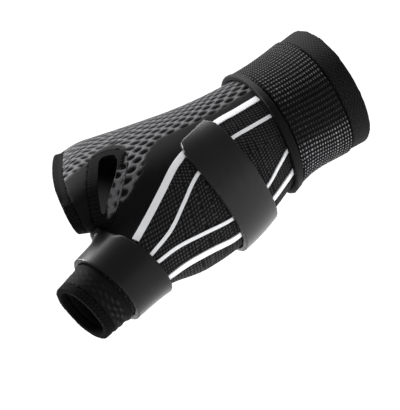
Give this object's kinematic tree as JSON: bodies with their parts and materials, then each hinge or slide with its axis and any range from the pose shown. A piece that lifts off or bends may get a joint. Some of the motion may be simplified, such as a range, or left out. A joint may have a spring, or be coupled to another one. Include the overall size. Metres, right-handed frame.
{
  "type": "thumb spica splint",
  "caption": "Knitted thumb and wrist brace in its worn form, with a thumb tube, a web opening, a ribbed wrist strap, a cross strap and white bonded stripes; holds the thumb and wrist still.",
  "frame": {"origin": "centre of the wearer's wrist, inside the sleeve, where the worn brace is held", "axes": "+X runs up the forearm towards the elbow, -X is the finger end, +Z is the back of the hand, -Y is the thumb side; worn form of a right hand"},
  "size_m": [0.1424, 0.1047, 0.0608],
  "materials": {
    "knit": "matte knit with oval dimples",
    "cuff_knit": "matte fine knit",
    "hem": "matte folded edge",
    "ribbed_elastic": "woven ribs with light flecks",
    "binding": "matte smooth fold",
    "smooth_strap": "smooth satin laminate",
    "white_stripe": "matte bonded stripe"
  },
  "bodies": {
    "root": {"knit_sleeve": "knit", "wrist_cuff": "cuff_knit", "finger_hem": "hem", "thumb_hem": "hem", "web_hem": "hem", "wrist_strap": "ribbed_elastic", "wrist_strap_binding": "binding", "cross_strap": "smooth_strap", "thumb_strap": "smooth_strap", "stripe_back_wide": "white_stripe", "stripe_back_narrow": "white_stripe", "stripe_palm_narrow": "white_stripe", "stripe_palm_wide": "white_stripe"}
  },
  "joints": []
}
